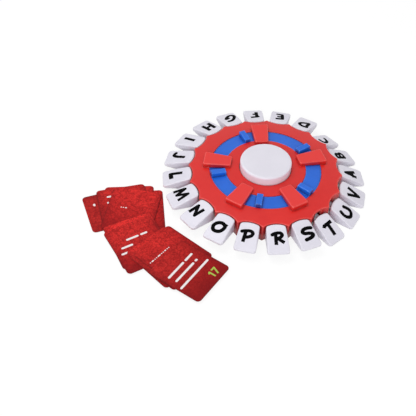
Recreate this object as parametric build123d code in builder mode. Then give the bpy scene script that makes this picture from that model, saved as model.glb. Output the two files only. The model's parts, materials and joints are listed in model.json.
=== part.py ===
from build123d import *
from math import cos, hypot, radians, sin
import os

# Letter wheel of a word game: twenty lever keys round a red housing, a blue
# ring that raises the keys again, a large timer button, and a fan of cards.
# The origin is the wheel's centre on its underside, with +Z up.

# Keys around the wheel
letters = "abcdefghijlmnoprstuv"
pressed_letters = "tuvabc"
key_pitch = 360 / len(letters)
wheel_turn = -3.3
press_angle = 10.5

# Shells
floor_thickness = 2.0
shell = 2.0

# Batteries and their bay under the floor
cell_radius = 5.25
cell_length = 43.7
cell_nub_radius = 1.9
cell_nub = 0.8
cell_gap = 0.3
cell_underside = 2.5
battery_y = -21.8
contact_thickness = 0.4
contact_spring = 1.6
contact_width = 8.0
battery_wall = 1.2
battery_roof = 1.2
bay_length = cell_length + 2 * (contact_spring + contact_thickness) + 2 * cell_nub
bay_width = 4 * cell_radius + 5 * cell_gap
bay_corner = hypot(bay_length / 2 + battery_wall, bay_width / 2 + battery_wall - battery_y)

# Rings that lie round the bay, from the hub outwards
plate_bay_gap = 2.29
plate_collar_gap = 0.5
collar_wall = 1.7
ring_bore_gap = 0.3
ring_land = 1.9
window_width = 18.1
plate_inner = bay_corner + plate_bay_gap
collar_outer = plate_inner - plate_collar_gap
ring_bore = collar_outer + ring_bore_gap
window_inner = ring_bore + ring_land
window_outer = window_inner + window_width
flange_lap = 1.5
flange_outer = window_outer + flange_lap

# Lever pivots and their saddles
pivot_setback = 7.0
pivot_radius = window_outer - pivot_setback
pivot_height = 9.0
pin_radius = 1.5
pin_clearance = 0.15
pin_reach = 3.1
pin_end_clearance = 0.4
barrel_radius = 3.0
saddle_half = 3.5
saddle_inner = pivot_radius - saddle_half
saddle_outer = pivot_radius + saddle_half
retainer_rise = 4.2
retainer_underside = pivot_height + retainer_rise
retainer_thickness = 2.0
rail_width = 1.5
rail_clearance = 0.2
ear_setback = 4.5
ear_circle = saddle_outer + ear_setback
ear_radius = 3.4
ear_thickness = 3.0

# Reset plate, its guide pegs and springs
plate_saddle_gap = 1.3
plate_outer = saddle_inner - plate_saddle_gap
plate_rise = 3.9
plate_bottom = pivot_height + plate_rise
plate_thickness = 2.0
plate_travel = 2.0
peg_radius = 1.6
peg_circle = (plate_inner + plate_outer) / 2
peg_rise = 0.3
peg_top = plate_bottom + plate_thickness + peg_rise
peg_clearance = 0.3
plate_spring_radius = 2.6
plate_spring_wire = 0.6
plate_spring_turns = 4

# Cams between the ring and the plate
cam_count = 5
cam_inset = 0.9
cam_inner = plate_inner + cam_inset
cam_outer = plate_outer - cam_inset
cam_spread = 40.0
cam_start = 5.0
cam_lag = 15.0
cam_rise = 2.7
cam_low = plate_bottom + cam_rise
cam_gap = 0.2
ramp_depth = 9.0
ramp_margin = 3.0

# Reset ring
knob_angles = [39.0, 118.0, 196.5, 264.4, 324.3]
ring_travel = 24.0
ring_clearance = 0.2
ring_sink = 0.6
flange_rise = 5.2
flange_bottom = cam_low + flange_rise
flange_thickness = 2.0
flange_gap = 0.45
knob_width = 7.0
knob_height = 6.0
knob_inset = 0.3
knob_edge = 0.8

# Housing outline and its domed top
rim_band = 19.8
scallop_radius = window_outer + rim_band
scallop_depth = 5.2
cusp_radius = scallop_radius + scallop_depth
cusp_wall = 2.8
cusp_round = 1.5
rim_edge = 0.8
window_outer_top = flange_bottom + flange_thickness + flange_gap + shell
window_fall = 0.95
window_inner_top = window_outer_top + window_fall
hub_rise = 0.6
hub_top = window_inner_top + hub_rise
rim_fall = 2.85
rim_top = window_outer_top - rim_fall
slot_clearance = 0.75
slot_drop = 3.8
slot_sill = pivot_height - slot_drop
lip_width = 1.4
lip_height = 2.0
lip_gap = 0.3

# Bridges between the windows
bridge_angles = [19.9, 97.7, 176.0, 241.7, 303.8]
bridge_lap = 7.0
bridge_inner = window_inner - bridge_lap
bridge_outer = window_outer + bridge_lap
bridge_inner_width = 15.5
bridge_outer_width = 21.2
bridge_height = 3.7
bridge_top = hub_top + bridge_height
bridge_corner = 1.6
bridge_edge = 0.9
bridge_clearance = 0.3

# Key caps, measured with the key raised
cap_setback = 0.9
cap_bow = 2.2
cap_inner_radius = scallop_radius + cap_setback
cap_length = 33.7
cap_outer_radius = cap_inner_radius + cap_length
cap_inner_width = 21.4
cap_outer_width = 24.8
cap_rise = 0.9
cap_inner_top = rim_top + cap_rise
cap_nose = 2.2
cap_crown = 0.6
cap_corner = 3.4
cap_edge = 1.3
cap_lean = 2.6
cap_lean_depth = 5.0
cap_wall = 1.6
cap_roof = 1.8
table_gap = 0.4

# Lever arms and tails
arm_width = 9.0
arm_clearance = 0.5
arm_reach = 10.3
arm_end_radius = cap_inner_radius + arm_reach
arm_root_depth = 5.0
arm_slope = 0.2
tail_length = 10.5
tail_width = 6.0
tail_depth = 3.0

# Timer electronics
board_length = 56.0
board_width = 26.0
board_y = 5.0
board_bottom = 8.0
board_thickness = 1.6
post_radius = 2.4
post_pin_radius = 1.1
post_inset = 4.0
post_clearance = 0.1
switch_side = 6.0
switch_height = 3.5
plunger_radius = 1.7
plunger_height = 1.5
chip_length = 9.0
chip_width = 7.0
chip_height = 1.5
chip_x = 16.0
buzzer_radius = 9.5
buzzer_height = 6.0
buzzer_y = 30.0
buzzer_clearance = 0.3
buzzer_cup_height = 3.0
sound_hole_radius = 1.0
sound_ring_radius = 5.0
switch_top = board_bottom + board_thickness + switch_height + plunger_height

# Hub: button well, stem guide and the collar that centres the ring
button_radius = 29.7
button_gap = 0.6
well_radius = button_radius + button_gap
well_thickness = 2.0
well_wall = 2.0
guide_radius = 4.15
guide_wall = 1.85
guide_switch_gap = 0.9
guide_drop = 1.5
guide_rise = 5.0
guide_bottom = switch_top + guide_switch_gap
well_floor = guide_bottom + guide_drop
guide_top = well_floor + well_thickness + guide_rise
collar_gap = 1.6
collar_bottom = plate_bottom + plate_thickness + collar_gap

# Timer button
button_travel = 3.0
button_skirt_gap = 0.4
button_bottom = well_floor + well_thickness + button_travel + button_skirt_gap
button_height = 14.9
button_top = button_bottom + button_height
button_wall = 2.0
button_roof = 2.2
button_edge = 2.4
stem_gap = 0.2
stem_radius = 4.0
button_boss_inner = 6.4
button_boss_outer = 9.6
button_boss_rise = 10.0
button_boss_bottom = well_floor + well_thickness + button_boss_rise
leg_angles = [0, 90, 180]
leg_inset = 5.7
leg_radius = button_radius - leg_inset
leg_width = 6.0
leg_thickness = 2.0
hook_reach = 1.5
hook_height = 1.6
hook_gap = 0.3
leg_clearance = 0.4
button_spring_radius = 8.0
button_spring_wire = 0.9
button_spring_turns = 4

# Battery door
door_thickness = 1.2
door_step = 1.4
door_margin = 2.4
door_clearance = 0.3
door_ear_radius = 3.9
door_ear_thickness = 2.8
door_screw_margin = 4.95
door_screw_x = bay_length / 2 + door_screw_margin

# Screws
screw_radius = 1.25
screw_head_radius = 2.4
screw_head_height = 1.4
screw_length = 8.0
screw_clearance = 0.05
boss_radius = 3.3
housing_screw_inset = 10.8
housing_screw_circle = scallop_radius - housing_screw_inset
housing_screw_start = 0.0
retainer_screw_start = 36.0
screw_recess = 0.3

# Cards, from the table up: each one's centre in card widths from the middle of
# the fan, and the direction of its foot
card_width = 57.0
card_length = 66.0
card_thickness = 0.3
card_gap = 0.03
card_corner = 4.5
fan_reach = 35.9
fan_radius = cap_outer_radius + fan_reach
fan_angle = 213.2
card_places = [
    (-0.237, 0.570, -83),
    (-0.447, 0.693, -85),
    (-0.711, 0.640, 21),
    (-0.535, 0.667, -75),
    (-0.386, 0.588, -98),
    (-0.202, -0.193, -63),
    (-0.158, -0.289, -59),
    (0.368, -0.579, -45),
    (0.456, -0.632, -40),
    (0.500, -0.553, -39),
    (0.825, -0.904, -34),
]

# Sizes worked out from those above
pin_half = arm_width / 2 + pin_reach
arm_tip = arm_end_radius - pivot_radius
cam_slope = plate_travel / ring_travel
rail_top = flange_bottom - rail_clearance
knob_length = window_outer - window_inner - 2 * (ring_clearance + knob_inset)
knob_top = window_outer_top - ring_sink + knob_height
stem_bottom = switch_top + button_travel + stem_gap
hook_bottom = well_floor - hook_gap - hook_height
cell_axis = cell_underside + cell_radius
cell_half = cell_length / 2
bay_top = cell_axis + cell_radius + cell_gap
head_seat = screw_head_height + screw_recess
post_places = [
    (side_x * (board_length / 2 - post_inset), board_y + side_y * (board_width / 2 - post_inset))
    for side_x in (-1, 1)
    for side_y in (-1, 1)
]
door_screw_places = [(-door_screw_x, battery_y), (door_screw_x, battery_y)]

os.makedirs("parts", exist_ok=True)


def polar(radius, angle):
    """Point in the plan view at an angle counted from the wheel's first cusp."""
    turned = radians(angle + wheel_turn)
    return (radius * cos(turned), radius * sin(turned))


def rim_outline(tip, hollow, blunt):
    """Closed outline of shallow arcs, one for each key, that meet in blunt cusps."""
    with BuildSketch() as outline:
        with BuildLine():
            for index in range(len(letters)):
                start = key_pitch * index
                ThreePointArc(
                    polar(tip, start),
                    polar(hollow, start + key_pitch / 2),
                    polar(tip, start + key_pitch),
                )
        make_face()
        fillet(vertices(), blunt)
    return outline.sketch


def sector(inner, outer, start, spread, bottom, top):
    """Block that follows the wheel through a spread of degrees."""
    with BuildPart() as block:
        with BuildSketch(Plane.XY.offset(bottom)):
            with BuildLine():
                ThreePointArc(
                    polar(outer, start),
                    polar(outer, start + spread / 2),
                    polar(outer, start + spread),
                )
                Line(polar(outer, start + spread), polar(inner, start + spread))
                ThreePointArc(
                    polar(inner, start + spread),
                    polar(inner, start + spread / 2),
                    polar(inner, start),
                )
                Line(polar(inner, start), polar(outer, start))
            make_face()
        extrude(amount=top - bottom)
    return block.part


def ramp(start, height, up):
    """Block longer than a cam, bounded above or below by the cam's helical face."""
    side = 1 if up else -1
    middle = (cam_inner + cam_outer) / 2
    spread = cam_spread + 2 * ramp_margin
    low = height - cam_slope * ramp_margin
    with BuildPart() as block:
        with BuildLine() as path:
            Helix(
                pitch=cam_slope * 360,
                height=cam_slope * spread,
                radius=middle,
                center=(0, 0, low),
            )
        with BuildSketch(Plane.XZ):
            with Locations((middle, low + side * ramp_depth / 2)):
                Rectangle(cam_outer - cam_inner + ramp_margin, ramp_depth)
        sweep(path=path.line, is_frenet=True)
    return block.part.rotate(Axis.Z, start - ramp_margin + wheel_turn)


def spring(radius, wire, turns, bottom, top):
    """Open coil of hexagonal wire between two heights, centred on the Z axis."""
    free = top - bottom - wire
    with BuildPart() as coil:
        with BuildLine() as path:
            Helix(pitch=free / turns, height=free, radius=radius, center=(0, 0, bottom + wire / 2))
        with BuildSketch(Plane.XZ):
            with Locations((radius, bottom + wire / 2)):
                RegularPolygon(wire / 2, 6)
        sweep(path=path.line, is_frenet=True)
    return coil.part


def screw(length):
    """Round-headed screw, its head's seat at the origin and its shank upwards."""
    with BuildPart() as fastener:
        with BuildSketch(Plane.XY):
            Circle(screw_head_radius)
        extrude(amount=-screw_head_height)
        with BuildSketch(Plane.XY):
            Circle(screw_radius)
        extrude(amount=length)
    return fastener.part


def cone_profile(drop):
    """Half profile below the housing's domed top, lowered by a wall."""
    fall = (window_outer_top - rim_top) / (cusp_radius - window_outer)
    edge = 2 * cusp_wall
    with BuildSketch(Plane.XZ) as profile:
        with BuildLine():
            Spline(
                (0, hub_top - drop),
                (window_inner, window_inner_top - drop),
                (window_outer, window_outer_top - drop),
                (cusp_radius + edge, rim_top - drop - fall * edge),
                tangents=[(1, 0), (1, -fall)],
            )
            Polyline(
                (cusp_radius + edge, rim_top - drop - fall * edge),
                (cusp_radius + edge, 0),
                (0, 0),
                (0, hub_top - drop),
            )
        make_face()
    return profile.sketch


def ring_cam(start):
    """Tooth under the ring whose lower face climbs like a screw thread."""
    block = sector(
        cam_inner, cam_outer, start, cam_spread, cam_low, flange_bottom + flange_thickness / 2
    )
    with BuildPart() as tooth:
        add(block)
        add(ramp(start, cam_low, False), mode=Mode.SUBTRACT)
    return tooth.part


def plate_cam(start):
    """Tooth on the plate that the ring's tooth slides along."""
    height = cam_low - cam_gap + cam_slope * cam_lag
    top = height + cam_slope * cam_spread + cam_gap
    block = sector(cam_inner, cam_outer, start + cam_lag, cam_spread, plate_bottom, top)
    with BuildPart() as tooth:
        add(block)
        add(ramp(start + cam_lag, height, True), mode=Mode.SUBTRACT)
    return tooth.part


def cap_block(inset, roof, open_below):
    """Key cap with the key raised, shrunk all round by an inset.

    The plan tapers towards the hub and follows its scallop there. The top falls
    outwards in a slight crown, and the underside lies level when the key is
    pressed. The face towards the hub leans back below, to clear the wall.
    """
    inner = cap_inner_radius - pivot_radius
    outer = cap_outer_radius - pivot_radius
    lift = radians(press_angle)
    level = table_gap - pivot_height
    under_inner = (level + (inner + cap_lean) * sin(lift)) / cos(lift)
    under_outer = (level + outer * sin(lift)) / cos(lift)
    top_inner = cap_inner_top - pivot_height
    top_outer = under_outer + cap_nose
    with BuildPart() as block:
        with BuildSketch(Plane.XZ):
            with BuildLine():
                Polyline(
                    (inner + inset + cap_lean, under_inner - open_below),
                    (inner + inset, top_inner - cap_lean_depth),
                    (inner + inset, top_inner - roof),
                )
                ThreePointArc(
                    (inner + inset, top_inner - roof),
                    ((inner + outer) / 2, (top_inner + top_outer) / 2 + cap_crown - roof),
                    (outer - inset, top_outer - roof),
                )
                Line((outer - inset, top_outer - roof), (outer - inset, under_outer - open_below))
                Line(
                    (outer - inset, under_outer - open_below),
                    (inner + inset + cap_lean, under_inner - open_below),
                )
            make_face()
        extrude(amount=cap_outer_width, both=True)
        with BuildSketch(Plane.XY.offset(-4 * pivot_height)):
            with BuildLine():
                Polyline(
                    (inner + cap_bow + inset, cap_inner_width / 2 - inset),
                    (outer - inset, cap_outer_width / 2 - inset),
                    (outer - inset, inset - cap_outer_width / 2),
                    (inner + cap_bow + inset, inset - cap_inner_width / 2),
                )
                ThreePointArc(
                    (inner + cap_bow + inset, inset - cap_inner_width / 2),
                    (inner + inset, 0),
                    (inner + cap_bow + inset, cap_inner_width / 2 - inset),
                )
            make_face()
            fillet(vertices(), cap_corner - inset)
        extrude(amount=8 * pivot_height, mode=Mode.INTERSECT)
    return block.part


# Bores for the lever pins, half in the base and half in the retainer
with BuildPart(Plane.XY.offset(pivot_height)) as pin_bores:
    with PolarLocations(pivot_radius, len(letters), key_pitch / 2 + wheel_turn):
        Cylinder(pin_radius + pin_clearance, 2 * (pin_half + pin_end_clearance), rotation=(90, 0, 0))

# Plan of the bridges
with BuildSketch() as bridge_plan:
    for bridge_angle in bridge_angles:
        with PolarLocations(bridge_inner, 1, bridge_angle + wheel_turn):
            Polygon(
                (0, -bridge_inner_width / 2),
                (bridge_outer - bridge_inner, -bridge_outer_width / 2),
                (bridge_outer - bridge_inner, bridge_outer_width / 2),
                (0, bridge_inner_width / 2),
                align=None,
            )
    fillet(bridge_plan.vertices(), bridge_corner)

# Space under the housing's skin
with BuildPart() as housing_hollow:
    add(rim_outline(cusp_radius - cusp_wall, scallop_radius - shell, cusp_round))
    extrude(amount=bridge_top)
    add(cone_profile(shell))
    revolve(axis=Axis.Z, mode=Mode.INTERSECT)

# Channel that the ring's band turns in
with BuildPart() as ring_channel:
    with BuildSketch(Plane.XZ):
        with BuildLine():
            Polyline(
                (window_inner, flange_bottom),
                (window_outer, flange_bottom),
                (window_outer, window_outer_top - ring_sink + bridge_clearance),
                (window_inner, window_inner_top - ring_sink + bridge_clearance),
                close=True,
            )
        make_face()
    revolve(axis=Axis.Z)

cap_shell = cap_block(0, 0, 0)
cap_hollow = cap_block(cap_wall, cap_roof, 4)

# Lever key, with its pivot at the origin and its cap towards +X
with BuildPart() as key:
    add(cap_shell)
    fillet(key.faces().sort_by(Axis.Z)[-1].edges(), cap_edge)
    add(cap_hollow, mode=Mode.SUBTRACT)
    with BuildSketch(Plane.XZ):
        with BuildLine():
            Polyline(
                (0, arm_root_depth / 2),
                (arm_end_radius - pivot_radius, arm_root_depth / 2 + arm_tip * arm_slope),
                (arm_end_radius - pivot_radius, arm_tip * arm_slope - arm_root_depth / 2),
                (0, -arm_root_depth / 2),
                close=True,
            )
        make_face()
    extrude(amount=arm_width / 2, both=True)
    with BuildSketch(Plane.XZ):
        with Locations((-tail_length / 2, 0)):
            Rectangle(tail_length, tail_depth)
    extrude(amount=tail_width / 2, both=True)
    with BuildSketch(Plane.XZ):
        Circle(barrel_radius)
    extrude(amount=arm_width / 2, both=True)
    with BuildSketch(Plane.XZ):
        Circle(pin_radius)
    extrude(amount=pin_half, both=True)

for index, letter in enumerate(letters):
    key_angle = key_pitch * (index + 0.5) + wheel_turn
    key_tilt = press_angle if letter in pressed_letters else 0
    around = Location((0, 0, 0), (0, 0, key_angle))
    seat = Location((pivot_radius, 0, pivot_height), (0, key_tilt, 0))
    with BuildPart() as placed_key:
        with Locations(around * seat):
            add(key.part)
    placed_key.part.label = f"key_{letter}"
    export_step(placed_key.part, f"parts/key_{letter}.step")

# Base: floor, saddles for the lever pins, pegs, posts and battery bay
with BuildPart() as base:
    add(rim_outline(cusp_radius, scallop_radius, cusp_round))
    extrude(amount=floor_thickness)
    with BuildSketch(Plane.XY.offset(floor_thickness)):
        Circle(scallop_radius - shell - lip_gap)
        Circle(scallop_radius - shell - lip_gap - lip_width, mode=Mode.SUBTRACT)
    extrude(amount=lip_height)
    with BuildSketch(Plane.XY.offset(floor_thickness)):
        Circle(saddle_outer)
        Circle(saddle_inner, mode=Mode.SUBTRACT)
    extrude(amount=pivot_height - floor_thickness)
    with BuildSketch(Plane.XY.offset(floor_thickness)):
        with PolarLocations(pivot_radius, len(letters), key_pitch / 2 + wheel_turn):
            Rectangle(saddle_outer - saddle_inner + 4, arm_width + 2 * arm_clearance)
    extrude(amount=pivot_height, mode=Mode.SUBTRACT)
    add(pin_bores.part, mode=Mode.SUBTRACT)
    with BuildSketch(Plane.XY.offset(floor_thickness)):
        with PolarLocations(ear_circle, cam_count, retainer_screw_start + wheel_turn):
            Circle(ear_radius)
    extrude(amount=pivot_height - floor_thickness)
    with BuildSketch(Plane.XY.offset(pivot_height)):
        with PolarLocations(ear_circle, cam_count, retainer_screw_start + wheel_turn):
            Circle(screw_radius + screw_clearance)
    extrude(amount=ear_thickness - screw_length - screw_recess, mode=Mode.SUBTRACT)
    with BuildSketch(Plane.XY.offset(floor_thickness)):
        with PolarLocations(peg_circle, cam_count, wheel_turn):
            Circle(peg_radius)
    extrude(amount=peg_top - floor_thickness)
    with BuildSketch(Plane.XY):
        with PolarLocations(housing_screw_circle, cam_count, housing_screw_start + wheel_turn):
            Circle(screw_head_radius + pin_clearance)
    extrude(amount=head_seat, mode=Mode.SUBTRACT)
    with BuildSketch(Plane.XY.offset(floor_thickness)):
        with PolarLocations(housing_screw_circle, cam_count, housing_screw_start + wheel_turn):
            Circle(boss_radius)
    extrude(amount=screw_head_height)
    with BuildSketch(Plane.XY):
        with PolarLocations(housing_screw_circle, cam_count, housing_screw_start + wheel_turn):
            Circle(screw_radius + pin_clearance)
    extrude(amount=floor_thickness + screw_head_height, mode=Mode.SUBTRACT)
    with BuildSketch(Plane.XY.offset(floor_thickness)):
        with Locations(*post_places):
            Circle(post_radius)
    extrude(amount=board_bottom - floor_thickness)
    with BuildSketch(Plane.XY.offset(board_bottom)):
        with Locations(*post_places):
            Circle(post_pin_radius)
    extrude(amount=board_thickness + screw_recess)
    with BuildSketch(Plane.XY.offset(floor_thickness)):
        with Locations((0, buzzer_y)):
            Circle(buzzer_radius + buzzer_clearance + battery_wall)
            Circle(buzzer_radius + buzzer_clearance, mode=Mode.SUBTRACT)
    extrude(amount=buzzer_cup_height)
    with BuildSketch(Plane.XY):
        with Locations((0, buzzer_y)):
            Circle(sound_hole_radius)
            with PolarLocations(sound_ring_radius, 6):
                Circle(sound_hole_radius)
    extrude(amount=floor_thickness, mode=Mode.SUBTRACT)
    with BuildSketch(Plane.XY.offset(floor_thickness)):
        with Locations((0, battery_y)):
            Rectangle(bay_length + 2 * battery_wall, bay_width + 2 * battery_wall)
    extrude(amount=bay_top + battery_roof - floor_thickness)
    with BuildSketch(Plane.XY.offset(floor_thickness)):
        with Locations(*door_screw_places):
            Circle(door_ear_radius + door_clearance + battery_wall)
    extrude(amount=screw_length)
    with BuildSketch(Plane.XY):
        with Locations((0, battery_y)):
            Rectangle(bay_length, bay_width)
    extrude(amount=bay_top, mode=Mode.SUBTRACT)
    with BuildSketch(Plane.XY):
        with Locations((0, battery_y)):
            Rectangle(bay_length + 2 * door_margin, bay_width + 2 * door_margin)
    extrude(amount=door_step, mode=Mode.SUBTRACT)
    with BuildSketch(Plane.XY):
        with Locations(*door_screw_places):
            Circle(door_ear_radius + door_clearance)
    extrude(amount=door_ear_thickness + door_step - door_thickness, mode=Mode.SUBTRACT)
    with BuildSketch(Plane.XY):
        with Locations(*door_screw_places):
            Circle(screw_radius + screw_clearance)
    extrude(amount=head_seat + screw_length + screw_recess, mode=Mode.SUBTRACT)
base.part.label = "base"
export_step(base.part, "parts/base.step")

# Key retainer: the upper half of the saddles, and the rail under the ring
with BuildPart() as key_retainer:
    with BuildSketch(Plane.XY.offset(pivot_height)):
        Circle(saddle_outer)
        Circle(saddle_inner, mode=Mode.SUBTRACT)
    extrude(amount=retainer_underside + retainer_thickness - pivot_height)
    with BuildSketch(Plane.XY.offset(pivot_height)):
        with PolarLocations(ear_circle, cam_count, retainer_screw_start + wheel_turn):
            Circle(ear_radius)
        with PolarLocations(
            (saddle_outer + ear_circle) / 2 - 1, cam_count, retainer_screw_start + wheel_turn
        ):
            Rectangle(ear_circle - saddle_outer + 2, 2 * ear_radius)
    extrude(amount=ear_thickness)
    with BuildSketch(Plane.XY.offset(pivot_height)):
        with PolarLocations(pivot_radius, len(letters), key_pitch / 2 + wheel_turn):
            Rectangle(saddle_outer - saddle_inner + 4, arm_width + 2 * arm_clearance)
    extrude(amount=retainer_underside - pivot_height, mode=Mode.SUBTRACT)
    add(pin_bores.part, mode=Mode.SUBTRACT)
    with BuildSketch(Plane.XY.offset(pivot_height)):
        with PolarLocations(ear_circle, cam_count, retainer_screw_start + wheel_turn):
            Circle(screw_radius + pin_clearance)
    extrude(amount=ear_thickness, mode=Mode.SUBTRACT)
    with BuildSketch(Plane.XY.offset(retainer_underside + retainer_thickness)):
        Circle(saddle_outer)
        Circle(saddle_outer - rail_width, mode=Mode.SUBTRACT)
    extrude(amount=rail_top - retainer_underside - retainer_thickness)
key_retainer.part.label = "key_retainer"
export_step(key_retainer.part, "parts/key_retainer.step")

# Reset plate: presses on the levers' tails when the ring's cams push it down
with BuildPart() as reset_plate:
    with BuildSketch(Plane.XY.offset(plate_bottom)):
        Circle(plate_outer)
        Circle(plate_inner, mode=Mode.SUBTRACT)
    extrude(amount=plate_thickness)
    for cam in range(cam_count):
        add(plate_cam(cam * 360 / cam_count + cam_start))
    with BuildSketch(Plane.XY.offset(plate_bottom)):
        with PolarLocations(peg_circle, cam_count, wheel_turn):
            Circle(peg_radius + peg_clearance)
    extrude(amount=plate_thickness, mode=Mode.SUBTRACT)
reset_plate.part.label = "reset_plate"
export_step(reset_plate.part, "parts/reset_plate.step")

# Plate springs, one round each peg
plate_spring = spring(
    plate_spring_radius, plate_spring_wire, plate_spring_turns, floor_thickness, plate_bottom
)
with BuildPart() as plate_springs:
    with PolarLocations(peg_circle, cam_count, wheel_turn):
        add(plate_spring)
plate_springs.part.label = "plate_springs"
export_step(plate_springs.part, "parts/plate_springs.step")

# Reset ring: a band that fills the windows, a flange under their edges, knobs
with BuildPart() as reset_ring:
    with BuildSketch(Plane.XZ):
        with BuildLine():
            Polyline(
                (ring_bore, flange_bottom),
                (flange_outer, flange_bottom),
                (flange_outer, flange_bottom + flange_thickness),
                (window_outer - ring_clearance, flange_bottom + flange_thickness),
                (window_outer - ring_clearance, window_outer_top - ring_sink),
                (window_inner + ring_clearance, window_inner_top - ring_sink),
                (window_inner + ring_clearance, flange_bottom + flange_thickness),
                (ring_bore, flange_bottom + flange_thickness),
                close=True,
            )
        make_face()
    revolve(axis=Axis.Z)
    for cam in range(cam_count):
        add(ring_cam(cam * 360 / cam_count + cam_start))
    with BuildSketch(Plane.XY.offset(flange_bottom + flange_thickness)):
        for knob_angle in knob_angles:
            with PolarLocations((window_inner + window_outer) / 2, 1, knob_angle + wheel_turn):
                Rectangle(knob_length, knob_width)
    extrude(amount=knob_top - flange_bottom - flange_thickness)
    knob_faces = reset_ring.faces().filter_by(GeomType.PLANE).group_by(Axis.Z)[-1]
    fillet(knob_faces.edges(), knob_edge)
reset_ring.part.label = "reset_ring"
export_step(reset_ring.part, "parts/reset_ring.step")

# Upper housing: shallow cone with windows, bridges, rim pockets and the hub
with BuildPart() as upper_housing:
    add(rim_outline(cusp_radius, scallop_radius, cusp_round).moved(Location((0, 0, floor_thickness))))
    extrude(amount=bridge_top)
    add(cone_profile(0))
    revolve(axis=Axis.Z, mode=Mode.INTERSECT)
    skin = upper_housing.faces().sort_by(Axis.Z)[-1]
    fillet(skin.edges(), rim_edge)
    add(housing_hollow.part, mode=Mode.SUBTRACT)
    with BuildSketch(Plane.XY.offset(well_floor)):
        Circle(well_radius + well_wall)
    extrude(amount=hub_top - well_floor - shell / 2)
    with BuildSketch(Plane.XY.offset(collar_bottom)):
        Circle(collar_outer)
        Circle(collar_outer - collar_wall, mode=Mode.SUBTRACT)
    extrude(amount=window_inner_top - collar_bottom - shell / 2)
    with BuildSketch(Plane.XY.offset(floor_thickness + screw_head_height)):
        with PolarLocations(housing_screw_circle, cam_count, housing_screw_start + wheel_turn):
            Circle(boss_radius)
    extrude(amount=rim_top + shell / 4 - floor_thickness - screw_head_height)
    with BuildSketch(Plane.XY.offset(window_outer_top - shell)):
        add(bridge_plan.sketch)
    extrude(amount=bridge_top - window_outer_top + shell)
    bridge_faces = upper_housing.faces().filter_by(GeomType.PLANE).group_by(Axis.Z)[-1]
    fillet(bridge_faces.edges(), bridge_edge)
    add(ring_channel.part, mode=Mode.SUBTRACT)
    with BuildSketch(Plane.XY.offset(flange_bottom)):
        Circle(window_outer)
        Circle(window_inner, mode=Mode.SUBTRACT)
        add(bridge_plan.sketch, mode=Mode.SUBTRACT)
    extrude(amount=bridge_top, mode=Mode.SUBTRACT)
    with BuildSketch(Plane.XY.offset(well_floor + well_thickness)):
        Circle(well_radius)
    extrude(amount=hub_top, mode=Mode.SUBTRACT)
    with BuildSketch(Plane.XY.offset(guide_bottom)):
        Circle(guide_radius + guide_wall)
    extrude(amount=guide_top - guide_bottom)
    with BuildSketch(Plane.XY.offset(guide_bottom)):
        Circle(guide_radius)
    extrude(amount=guide_top, mode=Mode.SUBTRACT)
    with BuildSketch(Plane.XY.offset(well_floor)):
        with PolarLocations(leg_radius + hook_reach / 2, 4, 0):
            Rectangle(leg_thickness + hook_reach + 2 * leg_clearance, leg_width + 2 * leg_clearance)
        with Locations((0, -leg_radius)):
            Rectangle(3 * leg_width, 3 * leg_width, mode=Mode.SUBTRACT)
    extrude(amount=well_thickness, mode=Mode.SUBTRACT)
    with BuildSketch(Plane.XY.offset(slot_sill)):
        with PolarLocations(cusp_radius, len(letters), key_pitch / 2 + wheel_turn):
            Rectangle(4 * (cusp_radius - scallop_radius), arm_width + 2 * slot_clearance)
    extrude(amount=rim_top - shell - slot_sill, mode=Mode.SUBTRACT)
    with BuildSketch(Plane.XY.offset(floor_thickness)):
        with PolarLocations(housing_screw_circle, cam_count, housing_screw_start + wheel_turn):
            Circle(screw_radius + screw_clearance)
    extrude(amount=screw_length + screw_recess, mode=Mode.SUBTRACT)
upper_housing.part.label = "upper_housing"
export_step(upper_housing.part, "parts/upper_housing.step")

# Timer button: a cup with a stem to the switch and hooks under the well floor
with BuildPart() as timer_button:
    with BuildSketch(Plane.XY.offset(button_bottom)):
        Circle(button_radius)
    extrude(amount=button_top - button_bottom)
    fillet(timer_button.faces().sort_by(Axis.Z)[-1].edges(), button_edge)
    with BuildSketch(Plane.XY.offset(button_bottom)):
        Circle(button_radius - button_wall)
    extrude(amount=button_top - button_roof - button_bottom, mode=Mode.SUBTRACT)
    with BuildSketch(Plane.XY.offset(stem_bottom)):
        Circle(stem_radius)
    extrude(amount=button_top - button_roof - stem_bottom)
    with BuildSketch(Plane.XY.offset(button_boss_bottom)):
        Circle(button_boss_outer)
        Circle(button_boss_inner, mode=Mode.SUBTRACT)
    extrude(amount=button_top - button_roof - button_boss_bottom)
    with BuildSketch(Plane.XY.offset(hook_bottom)):
        for leg_angle in leg_angles:
            with PolarLocations(leg_radius, 1, leg_angle):
                Rectangle(leg_thickness, leg_width)
    extrude(amount=button_top - button_roof - hook_bottom)
    with BuildSketch(Plane.XY.offset(hook_bottom)):
        for leg_angle in leg_angles:
            with PolarLocations(leg_radius + hook_reach / 2, 1, leg_angle):
                Rectangle(leg_thickness + hook_reach, leg_width)
    extrude(amount=hook_height)
timer_button.part.label = "timer_button"
export_step(timer_button.part, "parts/timer_button.step")

# Button spring
with BuildPart() as button_spring:
    add(
        spring(
            button_spring_radius,
            button_spring_wire,
            button_spring_turns,
            well_floor + well_thickness,
            button_boss_bottom,
        )
    )
button_spring.part.label = "button_spring"
export_step(button_spring.part, "parts/button_spring.step")

# Timer board with its chip
with BuildPart() as timer_board:
    with BuildSketch(Plane.XY.offset(board_bottom)):
        with Locations((0, board_y)):
            Rectangle(board_length, board_width)
        with Locations(*post_places):
            Circle(post_pin_radius + post_clearance, mode=Mode.SUBTRACT)
    extrude(amount=board_thickness)
    with BuildSketch(Plane.XY.offset(board_bottom + board_thickness)):
        with Locations((chip_x, board_y)):
            Rectangle(chip_length, chip_width)
    extrude(amount=chip_height)
timer_board.part.label = "timer_board"
export_step(timer_board.part, "parts/timer_board.step")

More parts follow.
